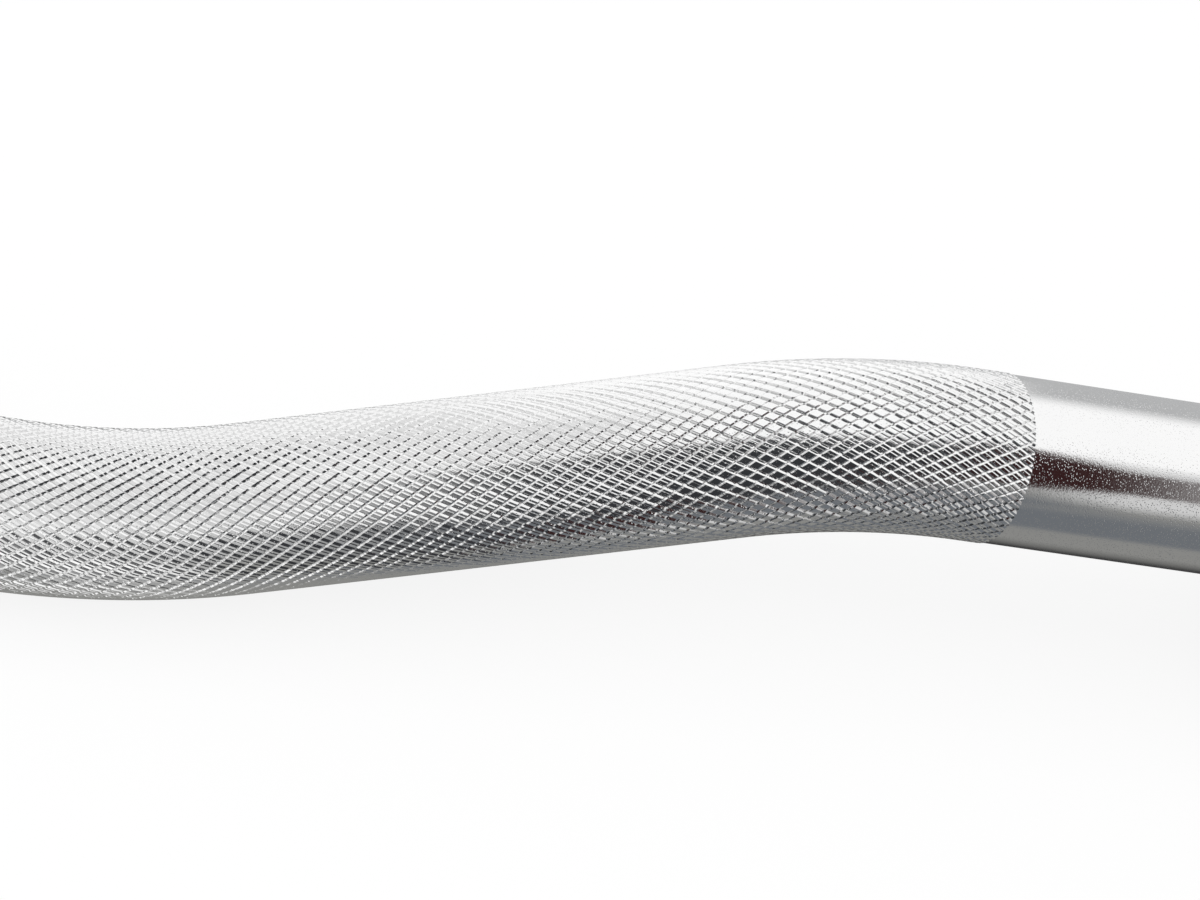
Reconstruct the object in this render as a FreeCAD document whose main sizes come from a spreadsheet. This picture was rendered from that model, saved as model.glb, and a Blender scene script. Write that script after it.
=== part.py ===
import FreeCAD, Part
import os
import Sketcher

# An EZ curl bar: one bent bar with two knurled grips a side, and a sleeve on bushes at each end.
# Millimetres. The sleeve axis is X, with the origin halfway between the sleeves, and +Z is up.
# The bar lies as it does on a floor, on its two collars and on the two valleys of its bends.

V = FreeCAD.Vector
WHOLE_TURN = 360
HALF_TURN = 180
UP = 1
DOWN = -1
OUTWARD = 1
INWARD = -1
TOLERANCE = 1e-6

# Driving dimensions. A pitch runs from corner to corner of the bar's centre line, before bending.
DIMENSIONS = {
    "bar_diameter": 28,
    "bend_radius": 144,
    "grip_angle": 15.5,
    "grip_pitch": 140,
    "centre_pitch": 130,
    "knurl_height": 0.15,
    "knurl_overrun": 3.5,
    "collar_gap": 860,
    "shoulder_step": 1.5,
    "tip_chamfer": 1.5,
    "sleeve_length": 170,
    "sleeve_wall": 9,
    "sleeve_chamfer": 2,
    "seat_step": 0.5,
    "collar_diameter": 80,
    "collar_width": 15,
    "collar_rounding": 3,
    "hub_rise": 5.5,
    "hub_width": 5,
    "hub_chamfer": 1.5,
    "bush_wall": 3.5,
    "bush_length": 28,
    "flange_rise": 2.5,
    "flange_width": 2.4,
    "seal_setback": 0.8,
    "seal_width": 4,
    "seal_gap": 1.2,
    "lip_width": 1.2,
    "lip_height": 1.5,
    "washer_thickness": 1.5,
    "washer_inset": 1.75,
    "retainer_thickness": 1.2,
    "retainer_groove": 0.55,
    "retainer_width": 2.4,
    "ring_gap": 4,
    "lug_radius": 2.2,
    "lug_spread": 8.8,
    "lug_reach": 0.4,
    "lug_hole": 1,
    "tip_length": 3.5,
    "cap_gap": 1.5,
    "cap_wall": 1.2,
    "cap_thickness": 4,
    "cap_dish": 24,
    "cap_dish_depth": 0.8,
    "cap_ring_thickness": 1.5,
    "cap_ring_groove": 1.1,
    "cap_ring_width": 3,
    "cap_lip": 2,
    "end_play": 0.1,
    "groove_play": 0.1,
    "press_clearance": 0.02,
    "running_clearance": 0.05,
    "loose_clearance": 0.1,
}

# Sizes and places that follow from the driving ones. A name in _at is a distance out from
# a sleeve's inboard face, and a name in _r is a radius.
WORKED = {
    "bend_tangent": "dims.bend_radius * tan(dims.grip_angle / 2 * 1deg)",
    "valley_tangent": "dims.bend_radius * tan(dims.grip_angle * 1deg)",
    "centre_run": "dims.centre_pitch / 2 - bend_tangent",
    "grip_run": "dims.grip_pitch - bend_tangent - valley_tangent",
    "last_bend_end": "dims.centre_pitch / 2 + 2 * dims.grip_pitch * cos(dims.grip_angle * 1deg)"
    " + bend_tangent",
    "valley_drop": "dims.grip_pitch * sin(dims.grip_angle * 1deg)"
    " - dims.bend_radius * (1 / cos(dims.grip_angle * 1deg) - 1)",
    "bar_r": "dims.bar_diameter / 2",
    "grip_r": "bar_r + dims.knurl_height",
    "journal_r": "bar_r - dims.shoulder_step",
    "bore_r": "journal_r + dims.bush_wall",
    "pocket_r": "bore_r + dims.flange_rise",
    "fitted_r": "pocket_r - dims.press_clearance",
    "running_r": "journal_r + dims.running_clearance",
    "washer_bore_r": "journal_r + dims.loose_clearance",
    "washer_r": "pocket_r - dims.washer_inset",
    "sleeve_r": "bore_r + dims.sleeve_wall",
    "seat_r": "sleeve_r - dims.seat_step",
    "collar_r": "dims.collar_diameter / 2",
    "collar_bore_r": "seat_r + dims.press_clearance",
    "hub_r": "seat_r + dims.hub_rise",
    "lip_r": "bar_r + dims.loose_clearance",
    "seal_bore_r": "lip_r + dims.lip_height",
    "retainer_groove_r": "journal_r - dims.retainer_groove",
    "retainer_in_r": "retainer_groove_r + dims.press_clearance",
    "retainer_out_r": "retainer_in_r + dims.retainer_width",
    "retainer_lug_r": "retainer_out_r + dims.lug_reach",
    "cap_groove_r": "pocket_r + dims.cap_ring_groove",
    "cap_ring_out_r": "cap_groove_r - dims.press_clearance",
    "cap_ring_in_r": "cap_ring_out_r - dims.cap_ring_width",
    "cap_ring_lug_r": "cap_ring_in_r - dims.lug_reach",
    "skirt_r": "fitted_r - dims.cap_wall",
    "dish_r": "dims.cap_dish / 2",
    "collar_at": "dims.hub_width + dims.collar_width",
    "shoulder_at": "dims.seal_setback + dims.seal_width + dims.seal_gap",
    "inner_flange_at": "shoulder_at + dims.washer_thickness + dims.end_play",
    "inner_floor_at": "inner_flange_at + dims.flange_width",
    "skirt_length": "dims.end_play + dims.washer_thickness + dims.retainer_thickness"
    " + dims.tip_length + dims.cap_gap",
    "cap_length": "skirt_length + dims.cap_thickness",
    "cap_ring_slot": "dims.cap_ring_thickness + dims.groove_play",
    "outer_flange_at": "dims.sleeve_length - dims.cap_lip - cap_ring_slot - cap_length",
    "outer_floor_at": "outer_flange_at - dims.flange_width",
    "outer_washer_at": "outer_flange_at + dims.end_play",
    "retainer_at": "outer_washer_at + dims.washer_thickness",
    "tip_at": "retainer_at + dims.retainer_thickness + dims.tip_length",
    "cap_face_at": "outer_flange_at + cap_length",
    "sleeve_start": "dims.collar_gap / 2",
    "bar_end_run": "sleeve_start + shoulder_at - last_bend_end",
    "knurl_start": "centre_run - dims.knurl_overrun",
    "rest_tilt": "acos(min(1; (collar_r - grip_r) / valley_drop))",
}

doc = FreeCAD.newDocument("ez_curl_bar")


def fill_sheet(name, cells):
    """A sheet with a name and a value in each row, and the name as the value's alias."""
    sheet = doc.addObject("Spreadsheet::Sheet", name)
    for row, (alias, content) in enumerate(cells.items(), start=1):
        sheet.set(f"A{row}", alias)
        sheet.set(f"B{row}", content)
        sheet.setAlias(f"B{row}", alias)
    doc.recompute()
    return sheet


dims = fill_sheet("dims", {alias: str(size) for alias, size in DIMENSIONS.items()})
worked = fill_sheet("worked", {alias: f"={formula}" for alias, formula in WORKED.items()})


def value(expression):
    """What an expression on the two sheets comes to, as a plain number."""
    found = dims.evalExpression(expression)
    return float(getattr(found, "Value", found))


def new_body(label):
    body = doc.addObject("PartDesign::Body", label)
    body.Label = label
    return body


def origin_plane(body, role):
    return next(feature for feature in body.Origin.OriginFeatures if feature.Role == role)


def new_sketch(body, name, role):
    """An empty sketch on one of the body's own origin planes."""
    sketch = body.newObject("Sketcher::SketchObject", f"{body.Name}_{name}")
    sketch.AttachmentSupport = [(origin_plane(body, role), "")]
    sketch.MapMode = "FlatFace"
    return sketch


def bind(sketch, size, kind, *references):
    """A dimension in a sketch that takes its value from an expression on the sheets."""
    index = sketch.addConstraint(Sketcher.Constraint(kind, *references, value(size)))
    sketch.setExpression(f"Constraints[{index}]", size)


def place_corner(sketch, line, along, radius):
    """Ties a line's first point to its two distances from the sketch's origin."""
    for kind, size, axis in (("DistanceX", along, -2), ("DistanceY", radius, -1)):
        if size == "0":
            sketch.addConstraint(Sketcher.Constraint("PointOnObject", line, 1, axis))
        else:
            bind(sketch, size, kind, -1, 1, line, 1)


def turned(body, name, corners):
    """A solid of revolution about X. Each corner of its section is (distance along X, radius)."""
    sketch = new_sketch(body, f"{name}_section", "XZ_Plane")
    points = [V(value(along), value(radius), 0) for along, radius in corners]
    for start, end in zip(points, points[1:] + points[:1]):
        sketch.addGeometry(Part.LineSegment(start, end))
    for line in range(len(points)):
        sketch.addConstraint(Sketcher.Constraint("Coincident", line, 2, (line + 1) % len(points), 1))
    for line, (along, radius) in enumerate(corners):
        place_corner(sketch, line, along, radius)
    revolution = body.newObject("PartDesign::Revolution", f"{body.Name}_{name}")
    revolution.Profile = sketch
    revolution.ReferenceAxis = (sketch, ["H_Axis"])
    revolution.Angle = WHOLE_TURN
    doc.recompute()
    return revolution


def ring_section(length, inner, outer):
    """The rectangle that turns into a plain ring."""
    return [("0", inner), ("0", outer), (length, outer), (length, inner)]


def bar_path(body, name, first_run, last_run):
    """The right half of the bar's centre line: straight runs joined by tangent arcs.

    It leaves the centre level, bends down to the inner grip, up to the outer grip and level again.
    """
    sketch = new_sketch(body, name, "XZ_Plane")
    runs = (first_run, "worked.grip_run", "worked.grip_run", last_run)
    bends = (("dims.grip_angle", DOWN), ("2 * dims.grip_angle", UP), ("dims.grip_angle", DOWN))
    point = V(value("worked.centre_run") - value(first_run), 0, 0)
    heading = FreeCAD.Rotation()
    path_ends = []
    for run, bend in zip(runs, (*bends, None)):
        corner = point + heading.multVec(V(value(run), 0, 0))
        sketch.addGeometry(Part.LineSegment(point, corner))
        path_ends.append((1, 2))
        if bend:
            angle, side = bend
            half_bend = FreeCAD.Rotation(V(0, 0, 1), side * value(angle) / 2)
            to_centre = V(0, side * value("dims.bend_radius"), 0)
            centre = corner + heading.multVec(to_centre)
            heading = heading.multiply(half_bend)
            middle = centre - heading.multVec(to_centre)
            heading = heading.multiply(half_bend)
            point = centre - heading.multVec(to_centre)
            sketch.addGeometry(Part.Arc(corner, middle, point))
            path_ends.append((1, 2) if side == UP else (2, 1))
    for index, ((_, leaving), (entering, _)) in enumerate(zip(path_ends, path_ends[1:])):
        sketch.addConstraint(Sketcher.Constraint("Tangent", index, leaving, index + 1, entering))
    sketch.addConstraint(Sketcher.Constraint("PointOnObject", 0, 1, -1))
    sketch.addConstraint(Sketcher.Constraint("Horizontal", 0))
    bind(sketch, "worked.centre_run", "DistanceX", -1, 1, 0, 2)
    for number, run in enumerate(runs):
        bind(sketch, run, "Distance", 2 * number)
    for number, (angle, _) in enumerate(bends):
        bind(sketch, "dims.bend_radius", "Radius", 2 * number + 1)
        bind(sketch, f"{angle} * 1deg", "Angle", 2 * number + 1)
    return sketch


def bent_rod(body, name, start, first_run, last_run, radius):
    """A round section carried along the bar's centre line, from its start on the level centre run."""
    path = bar_path(body, f"{name}_path", first_run, last_run)
    section = new_sketch(body, f"{name}_section", "YZ_Plane")
    section.addGeometry(Part.Circle(V(), V(0, 0, 1), value(radius)))
    section.addConstraint(Sketcher.Constraint("Coincident", 0, 3, -1, 1))
    bind(section, radius, "Radius", 0)
    section.setExpression(".AttachmentOffset.Base.z", start)
    doc.recompute()
    pipe = body.newObject("PartDesign::AdditivePipe", f"{body.Name}_{name}")
    pipe.Profile = section
    pipe.Spine = path
    doc.recompute()
    return pipe


def make_shaft():
    """The bent bar, with raised knurled bands on its grips and a turned journal at each end."""
    body = new_body("shaft")
    bent_rod(body, "bar", "0", "worked.centre_run", "worked.bar_end_run", "worked.bar_r")
    bent_rod(
        body, "grips", "worked.knurl_start", "dims.knurl_overrun", "dims.knurl_overrun", "worked.grip_r"
    )
    start = "worked.sleeve_start + "
    groove_start = f"{start}worked.retainer_at - dims.groove_play"
    groove_end = f"{start}worked.retainer_at + dims.retainer_thickness"
    journal = turned(
        body,
        "journal",
        [
            (f"{start}worked.shoulder_at", "0"),
            (f"{start}worked.shoulder_at", "worked.journal_r"),
            (groove_start, "worked.journal_r"),
            (groove_start, "worked.retainer_groove_r"),
            (groove_end, "worked.retainer_groove_r"),
            (groove_end, "worked.journal_r"),
            (f"{start}worked.tip_at - dims.tip_chamfer", "worked.journal_r"),
            (f"{start}worked.tip_at", "worked.journal_r - dims.tip_chamfer"),
            (f"{start}worked.tip_at", "0"),
        ],
    )
    half = journal.Shape.Volume
    mirrored = body.newObject("PartDesign::Mirrored", "shaft_both_halves")
    mirrored.TransformMode = "Whole shape"
    mirrored.MirrorPlane = (origin_plane(body, "YZ_Plane"), [""])
    body.Tip = mirrored
    doc.recompute()
    expect_volume(mirrored, 2 * half)
    body.Placement.Rotation = FreeCAD.Rotation(V(1, 0, 0), HALF_TURN)
    body.setExpression(".Placement.Rotation.Angle", "-worked.rest_tilt")
    return body


def expect_volume(feature, volume):
    """Stops if a feature didn't add or remove what it should."""
    if abs(feature.Shape.Volume - volume) > TOLERANCE * volume:
        raise RuntimeError(f"{feature.Name} has volume {feature.Shape.Volume}, not {volume}")


def make_sleeve_tube(body):
    """The plate sleeve: a tube with a seat for its collar, a pocket at each end and a ring groove."""
    groove_end = "worked.cap_face_at + worked.cap_ring_slot"
    turned(
        body,
        "tube",
        [
            ("0", "worked.pocket_r"),
            ("0", "worked.seat_r"),
            ("worked.collar_at", "worked.seat_r"),
            ("worked.collar_at", "worked.sleeve_r"),
            ("dims.sleeve_length - dims.sleeve_chamfer", "worked.sleeve_r"),
            ("dims.sleeve_length", "worked.sleeve_r - dims.sleeve_chamfer"),
            ("dims.sleeve_length", "worked.pocket_r"),
            (groove_end, "worked.pocket_r"),
            (groove_end, "worked.cap_groove_r"),
            ("worked.cap_face_at", "worked.cap_groove_r"),
            ("worked.cap_face_at", "worked.pocket_r"),
            ("worked.outer_floor_at", "worked.pocket_r"),
            ("worked.outer_floor_at", "worked.bore_r"),
            ("worked.inner_floor_at", "worked.bore_r"),
            ("worked.inner_floor_at", "worked.pocket_r"),
        ],
    )


def make_collar(body):
    """The plate stop: a flange with rounded rims and a narrower hub towards the hands."""
    ring = turned(
        body,
        "ring",
        [
            ("0", "worked.collar_bore_r"),
            ("0", "worked.hub_r - dims.hub_chamfer"),
            ("dims.hub_chamfer", "worked.hub_r"),
            ("dims.hub_width", "worked.hub_r"),
            ("dims.hub_width", "worked.collar_r"),
            ("worked.collar_at", "worked.collar_r"),
            ("worked.collar_at", "worked.collar_bore_r"),
        ],
    )
    collar_r = value("worked.collar_r")
    rims = [
        f"Edge{number}"
        for number, edge in enumerate(ring.Shape.Edges, start=1)
        if isinstance(edge.Curve, Part.Circle) and abs(edge.Curve.Radius - collar_r) < TOLERANCE
    ]
    rounding = body.newObject("PartDesign::Fillet", f"{body.Name}_rims")
    rounding.Base = (ring, rims)
    rounding.setExpression("Radius", "dims.collar_rounding")


def make_bushing(body):
    """A flanged plain bearing, pressed into the sleeve, that the journal turns in."""
    body_r = "worked.bore_r - dims.press_clearance"
    turned(
        body,
        "bush",
        [
            ("0", "worked.running_r"),
            ("0", "worked.fitted_r"),
            ("dims.flange_width", "worked.fitted_r"),
            ("dims.flange_width", body_r),
            ("dims.flange_width + dims.bush_length", body_r),
            ("dims.flange_width + dims.bush_length", "worked.running_r"),
        ],
    )


def make_dust_seal(body):
    """A rubber ring in the inboard pocket, whose lip runs round the bar."""
    turned(
        body,
        "seal",
        [
            ("0", "worked.lip_r"),
            ("0", "worked.fitted_r"),
            ("dims.seal_width", "worked.fitted_r"),
            ("dims.seal_width", "worked.seal_bore_r"),
            ("dims.lip_width + dims.lip_height", "worked.seal_bore_r"),
            ("dims.lip_width", "worked.lip_r"),
        ],
    )


def make_thrust_washer(body):
    """A flat ring on the journal that takes the sleeve's end load."""
    turned(body, "washer", ring_section("dims.washer_thickness", "worked.washer_bore_r", "worked.washer_r"))


def make_end_cap(body):
    """A cup over the journal's tip: its skirt stands on the bush's flange, and its face is dished."""
    turned(
        body,
        "cup",
        [
            ("0", "worked.skirt_r"),
            ("0", "worked.fitted_r"),
            ("worked.cap_length", "worked.fitted_r"),
            ("worked.cap_length", "worked.dish_r"),
            ("worked.cap_length - dims.cap_dish_depth", "worked.dish_r - dims.cap_dish_depth"),
            ("worked.cap_length - dims.cap_dish_depth", "0"),
            ("worked.skirt_length", "0"),
            ("worked.skirt_length", "worked.skirt_r"),
        ],
    )


def lug_circles(sketch, radius, lug_r):
    """Two equal circles at a circlip's lugs, one each side of its gap."""
    half_spread = value("dims.lug_spread / 2")
    height = value(f"sqrt(({lug_r})^2 - (dims.lug_spread / 2)^2)")
    first, second = (
        sketch.addGeometry(Part.Circle(V(side * half_spread, height, 0), V(0, 0, 1), value(radius)))
        for side in (1, -1)
    )
    sketch.addConstraint(Sketcher.Constraint("Symmetric", first, 3, second, 3, -2))
    sketch.addConstraint(Sketcher.Constraint("Equal", first, second))
    bind(sketch, radius, "Radius", first)
    bind(sketch, "dims.lug_spread / 2", "DistanceX", -1, 1, first, 3)
    bind(sketch, lug_r, "Distance", -1, 1, first, 3)


def gap_outline(sketch, reach):
    """The rectangle, from the ring's centre outwards, that opens a circlip between its lugs."""
    half_gap = value("dims.ring_gap / 2")
    top = value(reach)
    corners = [V(-half_gap, 0, 0), V(half_gap, 0, 0), V(half_gap, top, 0), V(-half_gap, top, 0)]
    lines = [sketch.addGeometry(Part.LineSegment(a, b)) for a, b in zip(corners, corners[1:] + corners[:1])]
    for line, following in zip(lines, lines[1:] + lines[:1]):
        sketch.addConstraint(Sketcher.Constraint("Coincident", line, 2, following, 1))
    for line, direction in zip(lines, ("Horizontal", "Vertical", "Horizontal", "Vertical")):
        sketch.addConstraint(Sketcher.Constraint(direction, line))
    sketch.addConstraint(Sketcher.Constraint("Symmetric", lines[0], 1, lines[0], 2, -1, 1))
    bind(sketch, "dims.ring_gap", "Distance", lines[0])
    bind(sketch, reach, "Distance", lines[1])


def make_circlip(body, kind):
    """A sprung ring, open at the top, with a holed lug for the pliers each side of its gap."""
    thickness = f"dims.{kind}_thickness"
    inner = f"worked.{kind}_in_r"
    outer = f"worked.{kind}_out_r"
    lug_r = f"worked.{kind}_lug_r"
    rim = new_sketch(body, "rim", "YZ_Plane")
    for number, radius in enumerate((inner, outer)):
        rim.addGeometry(Part.Circle(V(), V(0, 0, 1), value(radius)))
        rim.addConstraint(Sketcher.Constraint("Coincident", number, 3, -1, 1))
        bind(rim, radius, "Radius", number)
    lugs = new_sketch(body, "lugs", "YZ_Plane")
    lug_circles(lugs, "dims.lug_radius", lug_r)
    for sketch in (rim, lugs):
        pad = body.newObject("PartDesign::Pad", f"{sketch.Name}_pad")
        pad.Profile = sketch
        pad.setExpression("Length", thickness)
        doc.recompute()
    cuts = new_sketch(body, "cuts", "YZ_Plane")
    lug_circles(cuts, "dims.lug_hole", lug_r)
    gap_outline(cuts, f"{outer} + dims.lug_radius")
    pocket = body.newObject("PartDesign::Pocket", f"{body.Name}_openings")
    pocket.Profile = cuts
    pocket.Reversed = True
    pocket.setExpression("Length", thickness)
    doc.recompute()
    if pocket.Shape.Volume >= pad.Shape.Volume:
        raise RuntimeError(f"{body.Label} has no gap")


def make_retaining_ring(body):
    """The outside circlip that keeps the sleeve on its journal."""
    make_circlip(body, "retainer")


def make_end_cap_ring(body):
    """The inside circlip that keeps the end cap in its pocket."""
    make_circlip(body, "cap_ring")


# Each piece of a sleeve end: its name, its maker, where its first face lies and which way it points.
END_PIECES = [
    ("sleeve_tube", make_sleeve_tube, "0", OUTWARD),
    ("collar", make_collar, "0", OUTWARD),
    ("dust_seal", make_dust_seal, "dims.seal_setback", OUTWARD),
    ("inner_thrust_washer", make_thrust_washer, "worked.shoulder_at", OUTWARD),
    ("inner_bushing", make_bushing, "worked.inner_flange_at", OUTWARD),
    ("outer_bushing", make_bushing, "worked.outer_flange_at", INWARD),
    ("outer_thrust_washer", make_thrust_washer, "worked.outer_washer_at", OUTWARD),
    ("retaining_ring", make_retaining_ring, "worked.retainer_at", OUTWARD),
    ("end_cap", make_end_cap, "worked.outer_flange_at", OUTWARD),
    ("end_cap_ring", make_end_cap_ring, "worked.cap_face_at", OUTWARD),
]

sub_parts = [make_shaft()]
for side_name, side in (("left", -1), ("right", 1)):
    for piece, make, station, facing in END_PIECES:
        part = new_body(f"{side_name}_{piece}")
        make(part)
        turn = 0 if side * facing > 0 else HALF_TURN
        part.Placement.Rotation = FreeCAD.Rotation(V(0, 0, 1), turn)
        part.setExpression(".Placement.Base.x", f"{side} * (worked.sleeve_start + {station})")
        sub_parts.append(part)
doc.recompute()

failed = [item.Label for item in doc.Objects if {"Invalid", "Error"} & set(item.State)]
failed += [part.Label for part in sub_parts if part.Shape.isNull() or not part.Shape.isValid()]
if failed:
    raise RuntimeError(f"not built: {failed}")

os.makedirs("parts", exist_ok=True)
for part in sub_parts:
    part.Shape.exportStep(f"parts/{part.Label}.step")
    box = part.Shape.BoundBox
    print(
        f"{part.Label}: {len(part.Shape.Solids)} solid, {part.Shape.Volume:.1f} mm3,"
        f" x {box.XMin:.2f} to {box.XMax:.2f}, z {box.ZMin:.2f} to {box.ZMax:.2f}"
    )
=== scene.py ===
# %% [markdown]
# # A bent curl bar in chrome
# This lesson dresses a curl bar: one steel rod bent in a shallow W, with diamond-knurled grips,
# and a plate sleeve at each end. Its solids are already built at their real size. They are loaded
# first, as a fixed frame, and every surface made below lies on one of them.

# %% Load the frame
import math

import bmesh
import bpy
import numpy as np
from mathutils import Matrix, Vector


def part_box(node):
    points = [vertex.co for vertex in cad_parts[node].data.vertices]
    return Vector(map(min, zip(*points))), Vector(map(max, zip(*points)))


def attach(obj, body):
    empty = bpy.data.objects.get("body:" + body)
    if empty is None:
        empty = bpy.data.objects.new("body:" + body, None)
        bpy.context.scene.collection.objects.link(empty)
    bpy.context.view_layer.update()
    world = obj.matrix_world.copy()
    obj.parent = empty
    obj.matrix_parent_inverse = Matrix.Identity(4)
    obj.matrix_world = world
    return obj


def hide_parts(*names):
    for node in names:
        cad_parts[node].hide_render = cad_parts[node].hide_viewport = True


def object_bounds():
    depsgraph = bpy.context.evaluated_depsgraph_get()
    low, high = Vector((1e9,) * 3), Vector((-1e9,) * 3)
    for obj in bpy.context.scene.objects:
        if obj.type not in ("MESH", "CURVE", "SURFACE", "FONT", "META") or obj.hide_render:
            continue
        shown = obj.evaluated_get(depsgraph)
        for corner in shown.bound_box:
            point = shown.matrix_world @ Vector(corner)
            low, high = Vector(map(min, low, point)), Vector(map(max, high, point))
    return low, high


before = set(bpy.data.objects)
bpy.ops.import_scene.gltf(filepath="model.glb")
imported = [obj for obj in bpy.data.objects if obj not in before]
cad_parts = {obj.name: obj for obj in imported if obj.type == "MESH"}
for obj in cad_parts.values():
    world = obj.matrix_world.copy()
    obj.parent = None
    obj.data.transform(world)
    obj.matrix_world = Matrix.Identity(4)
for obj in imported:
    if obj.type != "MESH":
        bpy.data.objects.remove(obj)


def rounded(box):
    """The two corners of a box, to a tenth of a millimetre."""
    return [tuple(round(c, 4) for c in corner) for corner in box]


cad_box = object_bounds()
print("frame:", len(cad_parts), "nodes, box", rounded(cad_box))

# %% [markdown]
# ## The bar's centre line
# A bender makes such a bar from straight runs joined by round bends, so its centre line is a chain of
# runs and tangent arcs, the same at both sides of the middle. The sizes here are those of the solid.
# The bar lies tipped over, with its two valleys on the floor beside the collars.

# %% Sizes of the bend
MM = 0.001
BAR_RADIUS = 14 * MM
GRIP_RISE = 0.15 * MM
GRIP_RADIUS = BAR_RADIUS + GRIP_RISE
BEND_RADIUS = 144 * MM
GRIP_ANGLE = math.radians(15.5)
GRIP_PITCH = 140 * MM
CENTRE_PITCH = 130 * MM
KNURL_OVERRUN = 3.5 * MM

bend_tangent = BEND_RADIUS * math.tan(GRIP_ANGLE / 2)
valley_tangent = BEND_RADIUS * math.tan(GRIP_ANGLE)
centre_run = CENTRE_PITCH / 2 - bend_tangent
grip_run = GRIP_PITCH - bend_tangent - valley_tangent
small_arc = BEND_RADIUS * GRIP_ANGLE
valley_drop = GRIP_PITCH * math.sin(GRIP_ANGLE) - BEND_RADIUS * (1 / math.cos(GRIP_ANGLE) - 1)
collar_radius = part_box("right_collar")[1].z
rest_tilt = math.acos((collar_radius - GRIP_RADIUS) / valley_drop)

# Each stretch of the right half, from the middle outwards: its length and how far it turns up.
STRETCHES = [
    (centre_run, 0),
    (small_arc, -GRIP_ANGLE),
    (grip_run, 0),
    (2 * small_arc, 2 * GRIP_ANGLE),
    (grip_run, 0),
    (small_arc, -GRIP_ANGLE),
    (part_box("shaft")[1].x, 0),
]
knurl_start = centre_run - KNURL_OVERRUN
knurl_end = sum(length for length, _ in STRETCHES[:-1]) + KNURL_OVERRUN
valley_start = sum(length for length, _ in STRETCHES[:3])
valley_end = sum(length for length, _ in STRETCHES[:4])
grip_middle = valley_end + grip_run / 2
print(f"knurl from {knurl_start / MM:.1f} to {knurl_end / MM:.1f} mm along the line,",
      f"bar tipped {math.degrees(rest_tilt):.1f} degrees")

# %% [markdown]
# ## From a straight bar to the bent one
# A curve object with a bevel could follow such a line too, but the knurl needs a point's exact place
# and the exact direction there, so the line is a formula in the distance along it. A shape is made on
# a straight bar first, and these functions then carry it to the bent one.

# %% Bending
def centre_line(along):
    """Place and slope of the centre line, in the plane of the bends, at a distance from its middle.

    The slope grows evenly along an arc. A run adds its length times the slope's cosine and sine, and
    an arc of radius r adds r times the change of the slope's sine, and of its cosine taken from 1.
    """
    side = np.sign(along)
    distance = np.abs(along)
    x, z, slope = (np.zeros_like(distance) for _ in range(3))
    begin = heading = 0.0
    for length, turn in STRETCHES:
        gone = np.clip(distance - begin, 0, length)
        if turn:
            radius = length / turn
            x += radius * (np.sin(heading + gone / radius) - math.sin(heading))
            z += radius * (math.cos(heading) - np.cos(heading + gone / radius))
            slope += gone / radius
        else:
            x += gone * math.cos(heading)
            z += gone * math.sin(heading)
        begin += length
        heading += turn
    return side * x, z, side * slope


def lay_down(x, across, up):
    """Turns points about the sleeve axis, so that the bar rests on its collars and its two valleys."""
    y = across * math.cos(rest_tilt) + up * math.sin(rest_tilt)
    z = up * math.cos(rest_tilt) - across * math.sin(rest_tilt)
    return np.stack([x, y, z], axis=-1)


def on_bar(along, across, up):
    """Carries points of a straight bar to the bent one: each section stays square to the centre line."""
    x, rise, slope = centre_line(along)
    return lay_down(x - up * np.sin(slope), across, rise + up * np.cos(slope))


def along_bar(along, across, up):
    """Turns directions of a straight bar with the section that they belong to."""
    slope = centre_line(along)[2]
    return lay_down(-up * np.sin(slope), across, up * np.cos(slope))


valley_depth = -float(centre_line(np.array([(valley_start + valley_end) / 2]))[1][0])
print(f"each valley is {valley_depth / MM:.1f} mm below the sleeve axis, in the plane of the bends")

# %% [markdown]
# ## The camera
# The photo looks down on one outer grip from close by. A pinhole camera was fitted to the grip's
# outline there, in the frame of the grip itself: its middle, its run, and the normal of the bends'
# plane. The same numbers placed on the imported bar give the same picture, with no trial and error.

# %% Camera
PHOTO_WIDTH = 1200
FOCAL_PIXELS = 889.5
SENSOR_WIDTH = 36
NEAREST_SEEN = 1 * MM
CAMERA_DISTANCE = 146.5 * MM
CAMERA_ASIDE = 18.35 * MM
CAMERA_ABOVE = 4.89 * MM
CAMERA_PITCH = math.radians(15.83)
CAMERA_YAW = math.radians(-1.24)
CAMERA_ROLL = math.radians(-6.66)

grip_centre = Vector(on_bar(np.array([grip_middle]), np.zeros(1), np.zeros(1))[0])
grip_slope = float(centre_line(np.array([grip_middle]))[2][0])
grip_axes = Matrix([
    lay_down(math.cos(grip_slope), 0, math.sin(grip_slope)),
    lay_down(0, 1, 0),
    lay_down(-math.sin(grip_slope), 0, math.cos(grip_slope)),
]).transposed()
view_turn = (
    Matrix.Rotation(CAMERA_ROLL, 3, "Y")
    @ Matrix.Rotation(CAMERA_YAW, 3, "Z")
    @ Matrix.Rotation(CAMERA_PITCH, 3, "X")
)
view_axes = grip_axes @ view_turn.transposed()
right, forward, upward = view_axes.transposed()

camera = bpy.data.objects.new("camera", bpy.data.cameras.new("camera"))
camera.data.sensor_width = SENSOR_WIDTH
camera.data.lens = SENSOR_WIDTH * FOCAL_PIXELS / PHOTO_WIDTH
camera.data.clip_start = NEAREST_SEEN
camera.matrix_world = Matrix.Translation(
    grip_centre + view_axes @ Vector((CAMERA_ASIDE, -CAMERA_DISTANCE, CAMERA_ABOVE))
) @ Matrix((right, upward, -forward)).transposed().to_4x4()
bpy.context.scene.collection.objects.link(camera)
bpy.context.scene.camera = camera
print(f"camera at {tuple(round(c / MM) for c in camera.matrix_world.translation)} mm,",
      f"lens {camera.data.lens:.1f} mm, looking down {math.degrees(math.asin(-forward.z)):.0f} degrees")

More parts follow.
